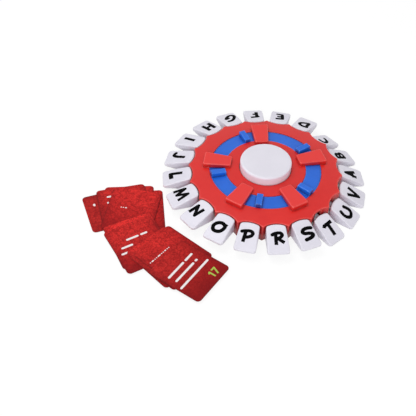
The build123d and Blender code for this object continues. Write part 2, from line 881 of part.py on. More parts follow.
# Push switch under the button's stem
with BuildPart() as push_switch:
    with BuildSketch(Plane.XY.offset(board_bottom + board_thickness)):
        Rectangle(switch_side, switch_side)
    extrude(amount=switch_height)
    with BuildSketch(Plane.XY.offset(board_bottom + board_thickness + switch_height)):
        Circle(plunger_radius)
    extrude(amount=plunger_height)
push_switch.part.label = "push_switch"
export_step(push_switch.part, "parts/push_switch.step")

# Buzzer in its cup
with BuildPart() as buzzer:
    with BuildSketch(Plane.XY.offset(floor_thickness)):
        with Locations((0, buzzer_y)):
            Circle(buzzer_radius)
    extrude(amount=buzzer_height)
    fillet(buzzer.faces().sort_by(Axis.Z)[-1].edges(), buzzer_clearance)
    with BuildSketch(Plane.XY.offset(floor_thickness + buzzer_height)):
        with Locations((0, buzzer_y)):
            Circle(sound_hole_radius)
    extrude(amount=-buzzer_height / 2, mode=Mode.SUBTRACT)
buzzer.part.label = "buzzer"
export_step(buzzer.part, "parts/buzzer.step")

# Two cells side by side, nubs at opposite ends
with BuildPart() as batteries:
    for side in (-1, 1):
        cell_y = battery_y + side * (cell_radius + cell_gap / 2)
        with BuildSketch(Plane(origin=(-side * cell_half, cell_y, cell_axis), z_dir=(side, 0, 0))):
            Circle(cell_radius)
        extrude(amount=cell_length)
        with BuildSketch(Plane(origin=(side * cell_half, cell_y, cell_axis), z_dir=(side, 0, 0))):
            Circle(cell_nub_radius)
        extrude(amount=cell_nub)
batteries.part.label = "batteries"
export_step(batteries.part, "parts/batteries.step")

# Contact plates at both ends of the bay, each with a bump towards its cell
with BuildPart() as battery_contacts:
    for end in (-1, 1):
        for side in (-1, 1):
            cell_y = battery_y + side * (cell_radius + cell_gap / 2)
            outside = end * bay_length / 2
            reach = contact_spring
            if end != side:
                reach = contact_spring + cell_nub
            with BuildSketch(Plane(origin=(outside, cell_y, cell_axis), z_dir=(-end, 0, 0))):
                Rectangle(contact_width, contact_width)
            extrude(amount=contact_thickness)
            with BuildSketch(Plane(origin=(outside, cell_y, cell_axis), z_dir=(-end, 0, 0))):
                Circle(contact_width / 3)
            extrude(amount=contact_thickness + reach - cell_gap, taper=20)
battery_contacts.part.label = "battery_contacts"
export_step(battery_contacts.part, "parts/battery_contacts.step")

# Battery door, flush with the underside
with BuildPart() as battery_door:
    with BuildSketch(Plane.XY):
        with Locations((0, battery_y)):
            Rectangle(
                bay_length + 2 * door_margin - 2 * door_clearance,
                bay_width + 2 * door_margin - 2 * door_clearance,
            )
    extrude(amount=door_thickness)
    with BuildSketch(Plane.XY):
        with Locations(*door_screw_places):
            Circle(door_ear_radius)
    extrude(amount=door_ear_thickness)
    with BuildSketch(Plane.XY):
        with Locations(*door_screw_places):
            Circle(screw_radius + pin_clearance)
    extrude(amount=door_ear_thickness, mode=Mode.SUBTRACT)
    with BuildSketch(Plane.XY):
        with Locations(*door_screw_places):
            Circle(screw_head_radius + pin_clearance)
    extrude(amount=head_seat, mode=Mode.SUBTRACT)
battery_door.part.label = "battery_door"
export_step(battery_door.part, "parts/battery_door.step")

# Screws: upwards through the door and the base, downwards through the retainer
upward_screw = screw(screw_length)
downward_screw = screw(screw_length).rotate(Axis.X, 180)

with BuildPart() as door_screws:
    with Locations(*[(place[0], place[1], head_seat) for place in door_screw_places]):
        add(upward_screw)
door_screws.part.label = "door_screws"
export_step(door_screws.part, "parts/door_screws.step")

with BuildPart(Plane.XY.offset(head_seat)) as housing_screws:
    with PolarLocations(housing_screw_circle, cam_count, housing_screw_start + wheel_turn):
        add(upward_screw)
housing_screws.part.label = "housing_screws"
export_step(housing_screws.part, "parts/housing_screws.step")

with BuildPart(Plane.XY.offset(pivot_height + ear_thickness)) as retainer_screws:
    with PolarLocations(ear_circle, cam_count, retainer_screw_start + wheel_turn):
        add(downward_screw)
retainer_screws.part.label = "retainer_screws"
export_step(retainer_screws.part, "parts/retainer_screws.step")

# Cards in a fan, each on the one below
fan_x = fan_radius * cos(radians(fan_angle))
fan_y = fan_radius * sin(radians(fan_angle))
for index, (along_x, along_y, card_turn) in enumerate(card_places):
    card_x = fan_x + along_x * card_width
    card_y = fan_y + along_y * card_width
    card_height = index * (card_thickness + card_gap)
    with BuildPart() as card:
        with BuildSketch(Plane(Location((card_x, card_y, card_height), (0, 0, card_turn)))):
            RectangleRounded(card_length, card_width, card_corner)
        extrude(amount=card_thickness)
    card.part.label = f"card_{index + 1}"
    export_step(card.part, f"parts/card_{index + 1}.step")
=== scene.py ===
import json
import math

import bmesh
import bpy
from mathutils import Matrix, Vector
from mathutils.bvhtree import BVHTree
from mathutils.geometry import delaunay_2d_cdt


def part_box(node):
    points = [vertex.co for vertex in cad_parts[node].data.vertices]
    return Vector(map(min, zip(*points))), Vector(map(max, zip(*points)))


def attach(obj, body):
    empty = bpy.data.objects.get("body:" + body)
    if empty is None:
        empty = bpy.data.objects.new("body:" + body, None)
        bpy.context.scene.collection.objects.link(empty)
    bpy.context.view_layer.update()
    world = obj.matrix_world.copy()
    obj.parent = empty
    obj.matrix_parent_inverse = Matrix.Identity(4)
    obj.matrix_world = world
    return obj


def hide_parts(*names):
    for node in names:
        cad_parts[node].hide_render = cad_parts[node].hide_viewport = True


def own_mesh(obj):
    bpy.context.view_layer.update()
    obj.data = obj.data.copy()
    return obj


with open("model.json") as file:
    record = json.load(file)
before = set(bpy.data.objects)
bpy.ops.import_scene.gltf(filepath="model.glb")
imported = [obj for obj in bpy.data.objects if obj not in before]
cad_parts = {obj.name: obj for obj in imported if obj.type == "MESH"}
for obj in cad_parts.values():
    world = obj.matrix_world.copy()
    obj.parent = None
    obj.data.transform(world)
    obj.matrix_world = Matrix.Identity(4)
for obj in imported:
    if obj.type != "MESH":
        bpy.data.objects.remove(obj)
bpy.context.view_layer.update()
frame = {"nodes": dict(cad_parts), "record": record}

NODES = frame["nodes"]
MM = 0.001

# Camera, from the perspective of the photograph. Pixels are of a 416 x 416 frame.
FRAME_PIXELS = 416
FOCAL_PIXELS = 718.44
CAMERA_ELEVATION = math.radians(46.78)
CAMERA_ROLL = -0.03
CAMERA_DISTANCE = 853.49 * MM
ORIGIN_PIXEL = (263.65, 183.39)
SENSOR = 36.0
CLIP_NEAR = 0.01
CLIP_FAR = 20

# Light: the sky's strength at the horizon and overhead, and each lamp's place, size and power
SKY_LOW = 0.92
SKY_HIGH = 0.52
LAMPS = {
    "soft_box_top": ((-0.5, 0.15, 1.3), 0.7, 5.5),
    "soft_box_front": ((-0.25, -1.25, 0.75), 0.35, 5.0),
}

# Floor: it glows where the camera or a reflection sees it, so that it reads as white
FLOOR_REACH = 6.0
FLOOR_CELLS = 8
FLOOR_DROP = 0.02 * MM
FLOOR_WHITE = (0.80, 0.80, 0.80, 1)
FLOOR_ROUGHNESS = 0.9
FLOOR_GLOW = 1.07
FLOOR_GLOW_SHARE = 0.80

# Wheel, as in the CAD model
LETTERS = "abcdefghijlmnoprstuv"
PRESSED = "tuvabc"
KEY_PITCH = 360 / len(LETTERS)
WHEEL_TURN = -3.3
PRESS_ANGLE = 10.5
PIVOT_RADIUS = 58 * MM
PIVOT_HEIGHT = 9 * MM
CAP_SLOPE = math.radians(15.8)
LETTER_RADIUS = 103.0 * MM
LETTER_HEIGHT = 18.4 * MM
WINDOW_INNER = 46.9 * MM
WINDOW_OUTER = 65.0 * MM
RIM_TOP = 22.4 * MM
HUB_TOP = 26.8 * MM
BRIDGE_TOP = 30.5 * MM

# Masks: the samples they take, and the readings at which each one starts and is full
BEVEL_SAMPLES = 4
MASK_SAMPLES = 6
EDGE_MASK = (0.96, 0.62)
EDGE_MASK_REACH = 1.4
CORNER_MASK = (0.92, 0.45)
UPRIGHT_MASK = (0.8, 0.4)
NOISE_RANGE = (0.3, 0.7)

# Paint of the moulded pieces: colours that change over a piece and where they do, among them
# painted light and shade (lit bridge tops, shaded low walls, edge highlights, groove shadows,
# reflections of the red), scales of noise in cycles per metre, how far the painted edge highlights
# and corner shade reach, and how much of the corner shade shows
# Painted light: the bridges' level tops lighter than the rest of the housing
LIT_BRIDGE_RED = (0.77, 0.030, 0.026)
# Painted shade: the housing's walls darker towards the floor, with its shares at the rim's top and
# at the floor
SHADED_WALL_RED = (0.16, 0.002, 0.004)
WALL_SHADE_SHARES = (0.15, 0.95)
# Painted highlights on the housing's edges: the height above which they start, and the rim's and
# hub's edges where they show
HIGHLIGHT_FOOT = (12 * MM, 16 * MM)
RIM_HIGHLIGHT = (RIM_TOP + 1.4 * MM, RIM_TOP + 0.6 * MM)
HUB_HIGHLIGHT = (HUB_TOP + 0.2 * MM, HUB_TOP + 1.2 * MM)
# Painted shadow in the ring's grooves at the windows' outer and inner edges
OUTER_GROOVE_SHADOW = (WINDOW_OUTER - 2.0 * MM, WINDOW_OUTER - 0.6 * MM, 0, 0.85)
INNER_GROOVE_SHADOW = (WINDOW_INNER + 1.0 * MM, WINDOW_INNER + 0.2 * MM, 0, 0.5)
# Painted reflection of the housing's red on the keys' walls, and how far from the axis it reaches
KEY_RED_REFLECTION = (0.62, 0.38, 0.49)
KEY_RED_REFLECTION_REACH = (102 * MM, 86 * MM, 0, 0.6)
# Painted reflection of the hub's red on the button's side
BUTTON_SIDE_REFLECTION = (0.84, 0.77, 0.86)
CLOUD_SCALE = 35
CLOUD_RANGE = (0.35, 0.68)
FLOW_SCALE = 140
# Scale of the noise that varies the painted edge highlights
HIGHLIGHT_SCALE = 260
GRAIN_SCALE = 2200
GRAIN_DEPTH = 0.012 * MM
EDGE_RADIUS = 1.1 * MM
# Reach and shares of the painted shade in corners
CORNER_REACH = 3 * MM
CORNER_SHARE = 0.85
HUB_CORNER_SHARE = 0.3
BUTTON_CORNER_SHARE = 0.15
# Range of the painted edge highlights' strength
HIGHLIGHT_SHARES = (0.7, 1.0)

# Steel, ink and board, with depths of their scratches and grain
STEEL_CLOUD_SCALE = 420
STEEL_RUB = (0.9, 0.9, 0.88)
STEEL_RUB_SHARE = 0.4
STEEL_EDGE_RADIUS = 0.15 * MM
SCRATCH_SCALE = 5200
SCRATCH_DEPTH = 0.004 * MM
SPECKLE_SCALE = 1800
SPECKLE_RANGE = (0.35, 0.7)
SPECKLE_DEPTH = 0.008 * MM
INK_SHINE = 0.03
BOARD_SCALE = 260
BOARD_LINE = 0.03
BOARD_GRAIN_SCALE = 1500
BOARD_GRAIN_DEPTH = 0.01 * MM
BOARD_ROUGHNESS = (0.25, 0.4)

# Letters as strokes of a broad pen, in millimetres from the middle of the key's top
CURVE_STEPS = 8
DISC_SIDES = 16
LETTER_CELL = 1.6
LETTER_LIFT = 0.02 * MM
LETTER_THICKNESS = 0.05 * MM
PROBE_RISE = 6 * MM
PROBE_REACH = 14 * MM
PEN_WIDTH = 4.2
PEN_WIDTHS = {"m": 3.5, "n": 3.8, "p": 3.9, "r": 3.9}
STROKES = {
    "a": (
        ("line", (-4.2, -6.7), (-1.7, 8.8), (4.3, -5.6)),
        ("line", (-6.2, -1.6), (3.2, -0.4)),
    ),
    "b": (
        ("line", (-5.7, 9.8), (-4.0, -2.7)),
        ("curve", (-6.0, 9.6), (-1.0, 10.0), (1.6, 7.6), (0.5, 5.0), (-3.1, 4.2)),
        ("curve", (-3.1, 4.2), (1.7, 3.6), (3.4, 0.4), (1.0, -2.1), (-4.1, -2.6)),
    ),
    "c": (
        ("curve", (1.6, 10.2), (-2.8, 9.9), (-5.3, 7.2), (-5.0, 3.4), (-2.4, -0.4), (3.0, -2.6)),
    ),
    "d": (
        ("line", (-5.6, 6.7), (-4.8, -5.4)),
        ("curve", (-6.8, 6.4), (0.2, 7.1), (4.6, 3.6), (2.4, -1.2), (-4.9, -5.6)),
    ),
    "e": (
        ("line", (4.4, 6.2), (-4.2, 4.6), (-2.2, -8.1), (5.3, -8.1)),
        ("line", (-2.9, -1.2), (3.2, -0.6)),
    ),
    "f": (
        ("line", (-6.2, 3.2), (-2.2, 4.8), (4.9, 5.5)),
        ("line", (-3.0, 4.0), (-3.6, -10.2)),
        ("line", (-3.2, -3.6), (1.6, -3.1)),
    ),
    "g": (
        (
            "curve", (3.8, 6.4), (-0.9, 5.9), (-5.4, 1.8), (-7.8, -3.8), (-6.2, -7.9),
            (-2.4, -8.1), (1.9, -4.7), (4.1, -0.4),
        ),
        ("line", (4.1, -0.4), (-1.0, -2.9)),
    ),
    "h": (
        ("line", (-5.0, 8.9), (-6.4, -7.8)),
        ("line", (3.0, 8.9), (2.5, -8.0)),
        ("line", (-6.0, -0.1), (3.0, 1.2)),
    ),
    "i": (("line", (-0.6, 6.0), (-2.1, -10.0)),),
    "j": (("curve", (1.1, 6.0), (0.4, -1.3), (-0.9, -6.1), (-3.3, -7.9), (-6.6, -6.1)),),
    "l": (("line", (-2.2, 7.0), (-4.3, -7.6), (3.3, -7.2)), ("line", (-4.0, -6.6), (3.7, -6.0))),
    "m": (("line", (-9.2, -8.0), (-6.4, 6.0), (-3.0, -6.2), (2.1, 6.2), (4.5, -7.6)),),
    "n": (("line", (-8.1, -5.2), (-6.0, 7.4), (0.1, -4.0), (2.6, 8.3)),),
    "o": (
        (
            "curve", (0.0, 6.0), (-4.7, 4.0), (-7.2, -0.4), (-5.7, -4.6), (-2.2, -5.7),
            (2.4, -3.9), (4.9, 0.7), (4.3, 4.2), (0.0, 6.0),
        ),
        ("line", (7.0, 4.6), (3.4, 5.0)),
    ),
    "p": (
        ("line", (-2.8, 5.9), (-3.7, -7.2)),
        (
            "curve", (-7.4, 4.9), (-3.1, 6.4), (2.2, 7.0), (4.9, 5.0), (4.2, 1.9), (1.0, -0.3),
            (-2.8, -1.4),
        ),
    ),
    "r": (
        ("line", (-1.6, 5.6), (-2.0, -7.3)),
        ("curve", (-5.6, 4.6), (-1.4, 6.4), (3.6, 6.5), (5.4, 4.4), (3.6, 1.5), (-1.4, -0.3)),
        ("line", (0.4, 0.0), (7.0, -5.1)),
    ),
    "s": (
        (
            "curve", (8.3, 5.1), (3.6, 6.0), (-0.9, 5.3), (-3.1, 2.9), (-1.4, 0.8), (3.6, -0.4),
            (6.9, -2.1), (6.2, -4.5), (2.4, -6.0), (-3.0, -6.8),
        ),
    ),
    "t": (("line", (-5.6, 3.2), (-4.0, 5.0), (7.4, 5.6)), ("line", (1.4, 5.3), (1.0, -9.5))),
    "u": (
        (
            "curve", (-4.3, 4.9), (-5.3, -0.2), (-4.1, -4.7), (-0.1, -7.6), (4.6, -5.4),
            (6.1, -0.8), (3.9, 5.7),
        ),
    ),
    "v": (("line", (-6.8, 6.9), (-0.6, -8.2), (4.2, 7.6)),),
}

# Cards: directions in which their feet point, from the table up, the painted light level of each,
# their colours, a painted shadow line along their foot and sides, and their print. Each row has
# its height above the card's middle, its start, its bars' width and their lengths. A gap between
# bars is a share of their width.
CARD_LENGTH = 66 * MM
CARD_WIDTH = 57 * MM
CARD_TURNS = [-83, -85, 21, -75, -98, -63, -59, -45, -40, -39, -34]
# Painted light: each card's colours scaled brighter or darker
CARD_PAINTED_LIGHT = [1.3, 1.05, 0.80, 0.97, 1.22, 1.38, 1.08, 1.20, 0.95, 1.06, 0.86]
CARD_LIGHT = (0.66, 0.026, 0.022)
CARD_DULL = (0.38, 0.008, 0.008)
CARD_DARK = (0.27, 0.005, 0.006)
CARD_STRANDS = (0.20, 0.003, 0.004)
CARD_BORDER = (0.19, 0.004, 0.006)
# Painted shadow along each card's foot and sides
CARD_EDGE_SHADOW = (0.10, 0.003, 0.004)
CARD_RUB = (0.50, 0.10, 0.09)
CARD_FALL_START = -0.35 * CARD_LENGTH
CARD_EDGE_RADIUS = 0.12 * MM
CARD_RUB_SHARE = 0.3
CARD_SHINE = 0.12
CARD_ROUGHNESS = (0.55, 0.70)
FIBRE_SCALE = 2600
FIBRE_DEPTH = 0.006 * MM
BLOTCH_SCALE = 42
BLOTCHES = (0.34, 0.66, 0.0, 0.5)
STRANDS = ((150, 0.045, 0.7), (330, 0.06, 0.6))
WEAR_SCALE = 90
WEAR_SHARES = (0.25, 0.7)
FOOT_BORDER = 15 * MM
SIDE_BORDER = 9 * MM
# Painted shadow line along the foot and sides: where it ends and starts, and how much shows
EDGE_SHADOW_OUTER = 0.4 * MM
EDGE_SHADOW_INNER = 1.1 * MM
EDGE_SHADOW_SHARE = 0.5
BAR = 2.6
BAR_GAP = 0.8
DOT = 1.4
PRINT_LIFT = 0.01 * MM
PRINT_CELL = 20.0
CARD_ROWS = [
    ((11.0, -14.0, BAR, (12, 14)), (2.2, -15.0, BAR, (27,)), (-7.0, -11.0, BAR, (8, 14))),
    ((-2.0, -12.0, BAR, (24,)), (-11.0, -14.0, BAR, (9, 17))),
    ((21.8, 10.8, BAR, (4,)), (11.0, -10.0, BAR, (20,)), (2.0, -12.0, BAR, (8, 14))),
    ((20.6, -17.5, BAR, (28,)), (11.2, -18.5, BAR, (11, 20)), (2.0, -8.0, BAR, (18,))),
    ((2.8, -13.5, DOT, (1.4, 1.4, 2.4)), (-20.5, -5.0, BAR, (29,)), (-27.0, -11.0, BAR, (12, 18))),
    ((-6.0, -16.0, BAR, (14, 16)), (-15.0, -14.0, BAR, (26,))),
    ((11.4, -10.2, BAR, (15, 8.5)), (2.7, -20.0, BAR, (14,)), (-5.0, -23.4, BAR, (8.5,))),
    ((-4.0, -18.0, BAR, (12, 20)), (-13.0, -15.0, BAR, (30,))),
    ((-4.0, -20.0, BAR, (24, 11)), (-13.0, -17.0, BAR, (12, 18))),
    (
        (10.4, -24.5, DOT, (1.4, 3.4, 1.4, 1.4, 4.2, 1.4, 1.4, 2.6, 1.4, 1.4)),
        (-8.0, -22.0, BAR, (27, 13)),
    ),
    ((11.0, -22.0, BAR, (27, 13)), (2.0, -21.0, BAR, (32, 4)), (-7.6, -25.5, BAR, (49,))),
]

# Plain numbers on the cards, the first on the lowest card, in digits of strokes
NUMBER_PLACE = (12.5, -22.8)
NUMBER_PEN = 1.9
NUMBER_FIRST = 7
DIGIT_STEP = 6.2
DIGITS = {
    "0": (
        (
            "curve", (0, 4.0), (-2.2, 2.2), (-2.2, -2.2), (0, -4.0), (2.2, -2.2), (2.2, 2.2),
            (0, 4.0),
        ),
    ),
    "1": (("line", (-1.8, 2.6), (0.5, 4.1), (0.5, -4.1)),),
    "2": (
        ("curve", (-2.2, 2.4), (-0.4, 4.0), (2.0, 3.0), (1.6, 0.8), (-2.2, -3.8)),
        ("line", (-2.4, -3.9), (2.6, -3.9)),
    ),
    "3": (
        ("curve", (-2.2, 3.4), (0.4, 4.0), (2.0, 2.2), (-0.4, 0.3)),
        ("curve", (-0.4, 0.3), (2.4, -1.6), (0.6, -3.9), (-2.4, -3.4)),
    ),
    "4": (("line", (1.2, -4.1), (1.2, 4.0), (-2.6, -1.6), (2.9, -1.6)),),
    "5": (
        ("line", (2.2, 3.9), (-1.8, 3.9), (-2.1, 0.6)),
        ("curve", (-2.1, 0.6), (1.2, 1.0), (2.2, -1.6), (0.2, -3.9), (-2.4, -3.2)),
    ),
    "6": (
        ("curve", (1.8, 3.6), (-1.0, 3.0), (-2.4, -0.6), (-1.4, -3.6), (1.4, -3.6), (2.2, -1.4)),
        ("curve", (2.2, -1.4), (0.8, 0.4), (-2.0, -0.6)),
    ),
    "7": (("line", (-2.5, 3.9), (2.5, 3.9), (-1.0, -4.2)),),
    "8": (
        ("curve", (0, 4.0), (-2.0, 2.2), (0, 0.3), (2.0, 2.2), (0, 4.0)),
        ("curve", (0, 0.3), (-2.3, -1.8), (0, -4.0), (2.3, -1.8), (0, 0.3)),
    ),
    "9": (
        (
            "curve", (2.0, 1.4), (-0.2, 0.0), (-2.1, 1.8), (-0.6, 4.0), (1.8, 3.2), (1.6, -1.4),
            (-1.2, -4.0),
        ),
    ),
}

# Springs: the joint that presses each one, and how far
SPRINGS = {"plate_springs": ("plate_drop", 2 * MM), "button_spring": ("button_press", 3 * MM)}


def make_camera():
    """Camera at the place that the photograph's perspective gives."""
    right = Vector((1, 0, 0))
    ahead = Vector((0, math.cos(CAMERA_ELEVATION), -math.sin(CAMERA_ELEVATION)))
    down = ahead.cross(right)
    across = math.cos(CAMERA_ROLL) * right + math.sin(CAMERA_ROLL) * down
    below = math.cos(CAMERA_ROLL) * down - math.sin(CAMERA_ROLL) * right
    offset_u = (ORIGIN_PIXEL[0] - FRAME_PIXELS / 2) / FOCAL_PIXELS
    offset_v = (ORIGIN_PIXEL[1] - FRAME_PIXELS / 2) / FOCAL_PIXELS
    to_origin = (offset_u * across + offset_v * below + ahead) * CAMERA_DISTANCE
    data = bpy.data.cameras.new("camera")
    data.sensor_width = SENSOR
    data.lens = FOCAL_PIXELS * SENSOR / FRAME_PIXELS
    data.clip_start = CLIP_NEAR
    data.clip_end = CLIP_FAR
    camera = bpy.data.objects.new("camera", data)
    bpy.context.scene.collection.objects.link(camera)
    turn = Matrix((across, -below, -ahead)).transposed()
    camera.matrix_world = Matrix.Translation(-to_origin) @ turn.to_4x4()
    bpy.context.scene.camera = camera


class Paint:
    """Node tree of one material, with short calls that add and join nodes."""

    def __init__(self, name):
        self.material = bpy.data.materials.new(name)
        self.material.use_nodes = True
        self.tree = self.material.node_tree
        self.shader = self.tree.nodes["Principled BSDF"]
        self.place = self.add("ShaderNodeTexCoord").outputs["Object"]

    def add(self, kind, **settings):
        """New node with its properties set."""
        node = self.tree.nodes.new(kind)
        for key, value in settings.items():
            setattr(node, key, value)
        return node

    def feed(self, socket, value):
        """Link or number into a socket."""
        if isinstance(value, bpy.types.NodeSocket):
            self.tree.links.new(value, socket)
        else:
            socket.default_value = value

    def noise(self, scale, detail=3.0, rough=0.5):
        """Noise between 0 and 1, with a scale in cycles per metre."""
        node = self.add("ShaderNodeTexNoise")
        self.feed(node.inputs["Vector"], self.place)
        node.inputs["Scale"].default_value = scale
        node.inputs["Detail"].default_value = detail
        node.inputs["Roughness"].default_value = rough
        return node.outputs["Fac"]

    def remap(self, value, low, high, out_low=0.0, out_high=1.0):
        """Straight ramp from one range to another, held at its ends."""
        node = self.add("ShaderNodeMapRange")
        for socket, number in zip(node.inputs[:5], (value, low, high, out_low, out_high)):
            self.feed(socket, number)
        return node.outputs["Result"]

    def spread(self, noise, low=0.0, high=1.0):
        """Noise stretched from the range that it fills to the one asked for."""
        return self.remap(noise, *NOISE_RANGE, low, high)

    def math(self, operation, first, second=0.5):
        """Result of one operation on one or two values."""
        node = self.add("ShaderNodeMath", operation=operation)
        self.feed(node.inputs[0], first)
        self.feed(node.inputs[1], second)
        return node.outputs[0]

    def mix(self, share, first, second):
        """Blend of two colours."""
        node = self.add("ShaderNodeMix", data_type="RGBA")
        self.feed(node.inputs[0], share)
        for socket, colour in ((6, first), (7, second)):
            linked = isinstance(colour, bpy.types.NodeSocket)
            self.feed(node.inputs[socket], colour if linked else (*colour, 1))
        return node.outputs[2]

    def most(self, first, second):
        """The larger of two values."""
        return self.math("MAXIMUM", first, second)

    def product(self, first, second):
        """Two values multiplied."""
        return self.math("MULTIPLY", first, second)

    def parts(self, vector=None):
        """X, Y and Z of a vector, or of the place on the object."""
        node = self.add("ShaderNodeSeparateXYZ")
        self.feed(node.inputs["Vector"], self.place if vector is None else vector)
        return [node.outputs[axis] for axis in "XYZ"]

    def radius(self):
        """Distance from the wheel's axis."""
        flat = self.add("ShaderNodeVectorMath", operation="MULTIPLY")
        self.feed(flat.inputs[0], self.place)
        flat.inputs[1].default_value = (1, 1, 0)
        length = self.add("ShaderNodeVectorMath", operation="LENGTH")
        self.feed(length.inputs[0], flat.outputs["Vector"])
        return length.outputs["Value"]

    def upright(self):
        """Mask that is 1 on walls and 0 on level faces."""
        facing = self.parts(self.add("ShaderNodeTexCoord").outputs["Normal"])
        return self.remap(self.math("ABSOLUTE", facing[2]), *UPRIGHT_MASK)

    def bump(self, height, depth, below=None):
        """Surface normal roughened by a height, with the depth in metres."""
        node = self.add("ShaderNodeBump")
        node.inputs["Strength"].default_value = 1.0
        node.inputs["Distance"].default_value = depth
        self.feed(node.inputs["Height"], height)
        if below is not None:
            self.feed(node.inputs["Normal"], below)
        return node.outputs["Normal"]

    def soft_edge(self, radius):
        """Normal with its edges rounded, and a mask that is 1 along the outer edges."""
        rounded = self.add("ShaderNodeBevel", samples=BEVEL_SAMPLES)
        rounded.inputs["Radius"].default_value = radius
        inside = self.add(
            "ShaderNodeAmbientOcclusion", samples=MASK_SAMPLES, inside=True, only_local=True
        )
        inside.inputs["Distance"].default_value = EDGE_MASK_REACH * radius
        return rounded.outputs["Normal"], self.remap(inside.outputs["AO"], *EDGE_MASK)

    def crevice(self, reach):
        """Mask that is 1 deep in corners and gaps, where the painted shade goes."""
        around = self.add("ShaderNodeAmbientOcclusion", samples=MASK_SAMPLES)
        around.inputs["Distance"].default_value = reach
        return self.remap(around.outputs["AO"], *CORNER_MASK)

    def finish(self, colour, roughness, normal, metallic=0.0, specular=0.5):
        """Joins the tree to the shader."""
        self.feed(self.shader.inputs["Base Color"], colour)
        self.feed(self.shader.inputs["Roughness"], roughness)
        self.feed(self.shader.inputs["Normal"], normal)
        self.shader.inputs["Metallic"].default_value = metallic
        self.shader.inputs["Specular IOR Level"].default_value = specular
        return self.material


def housing_tints(paint, body, highlight_share):
    """Painted light on the bridges' tops, painted shade on the walls towards the floor, and
    painted highlights on the raised edges alone.
    """
    height = paint.parts()[2]
    # painted light: the bridges' tops lighter than the rest
    body = paint.mix(paint.remap(height, HUB_TOP, BRIDGE_TOP), body, LIT_BRIDGE_RED)
    # painted shade: walls darker towards the floor
    low = paint.product(paint.upright(), paint.remap(height, RIM_TOP, 0, *WALL_SHADE_SHARES))
    body = paint.mix(low, body, SHADED_WALL_RED)
    # share of painted shade in the corners, less towards the hub
    corner_shade = paint.remap(height, RIM_TOP + 1 * MM, HUB_TOP, CORNER_SHARE, HUB_CORNER_SHARE)
    # painted highlights only along the rim's top edge and the raised edges above the hub, not near
    # the floor
    highlighted_edges = paint.most(paint.remap(height, *RIM_HIGHLIGHT), paint.remap(height, *HUB_HIGHLIGHT))
    highlighted_edges = paint.product(highlighted_edges, paint.remap(height, *HIGHLIGHT_FOOT))
    return body, paint.product(highlight_share, highlighted_edges), corner_shade


def ring_tints(paint, body, corner):
    """Painted shadow in the grooves where the ring goes under the windows' rims."""
    radius = paint.radius()
    # painted shadow in the grooves
    groove_shadow = paint.most(paint.remap(radius, *OUTER_GROOVE_SHADOW), paint.remap(radius, *INNER_GROOVE_SHADOW))
    return paint.mix(groove_shadow, body, corner)


def key_tints(paint, body):
    """Painted reflection of the housing's red on the walls of a key beside it."""
    # painted reflection of the housing's red on walls near the axis
    inner = paint.remap(paint.radius(), *KEY_RED_REFLECTION_REACH)
    return paint.mix(paint.product(paint.upright(), inner), body, KEY_RED_REFLECTION)


def plastic(name, colour, shade, edge, corner, roughness):
    """Moulded plastic: faint clouds of colour, a fine grain, painted highlights on the edges and
    painted shade in the corners.
    """
    paint = Paint(name)
    clouds = paint.noise(CLOUD_SCALE, 4, 0.6)
    body = paint.mix(paint.remap(clouds, *CLOUD_RANGE), shade, colour)
    # strength of the painted edge highlights, varied by noise
    highlight_share = paint.spread(paint.noise(HIGHLIGHT_SCALE), *HIGHLIGHT_SHARES)
    corner_shade = CORNER_SHARE
    if name == "housing_red":
        body, highlight_share, corner_shade = housing_tints(paint, body, highlight_share)
    elif name == "ring_blue":
        body = ring_tints(paint, body, corner)
    elif name == "key_white":
        body = key_tints(paint, body)
    elif name == "button_white":
        # painted reflection of the hub's red on the side, and weaker corner shade
        body = paint.mix(paint.upright(), body, BUTTON_SIDE_REFLECTION)
        corner_shade = BUTTON_CORNER_SHARE
    # painted shade deep in corners and gaps
    body = paint.mix(paint.product(paint.crevice(CORNER_REACH), corner_shade), body, corner)
    # painted highlight along the outer edges
    rounded, edges = paint.soft_edge(EDGE_RADIUS)
    body = paint.mix(paint.product(edges, highlight_share), body, edge)
    rough = paint.spread(clouds, roughness, roughness + 0.02)
    normal = paint.bump(paint.noise(GRAIN_SCALE, 2, 0.6), GRAIN_DEPTH, rounded)
    normal = paint.bump(paint.noise(FLOW_SCALE, 2, 0.4), GRAIN_DEPTH, normal)
    return paint.finish(body, rough, normal)


def metal(name, colour, shade, roughness):
    """Plated steel with fine scratches."""
    paint = Paint(name)
    clouds = paint.noise(STEEL_CLOUD_SCALE, 4, 0.6)
    body = paint.mix(paint.spread(clouds), shade, colour)
    scratches = paint.noise(SCRATCH_SCALE, 2, 0.7)
    rough = paint.spread(scratches, roughness - 0.08, roughness + 0.12)
    rounded, edges = paint.soft_edge(STEEL_EDGE_RADIUS)
    body = paint.mix(paint.product(edges, STEEL_RUB_SHARE), body, STEEL_RUB)
    normal = paint.bump(scratches, SCRATCH_DEPTH, rounded)
    return paint.finish(body, rough, normal, metallic=1.0)


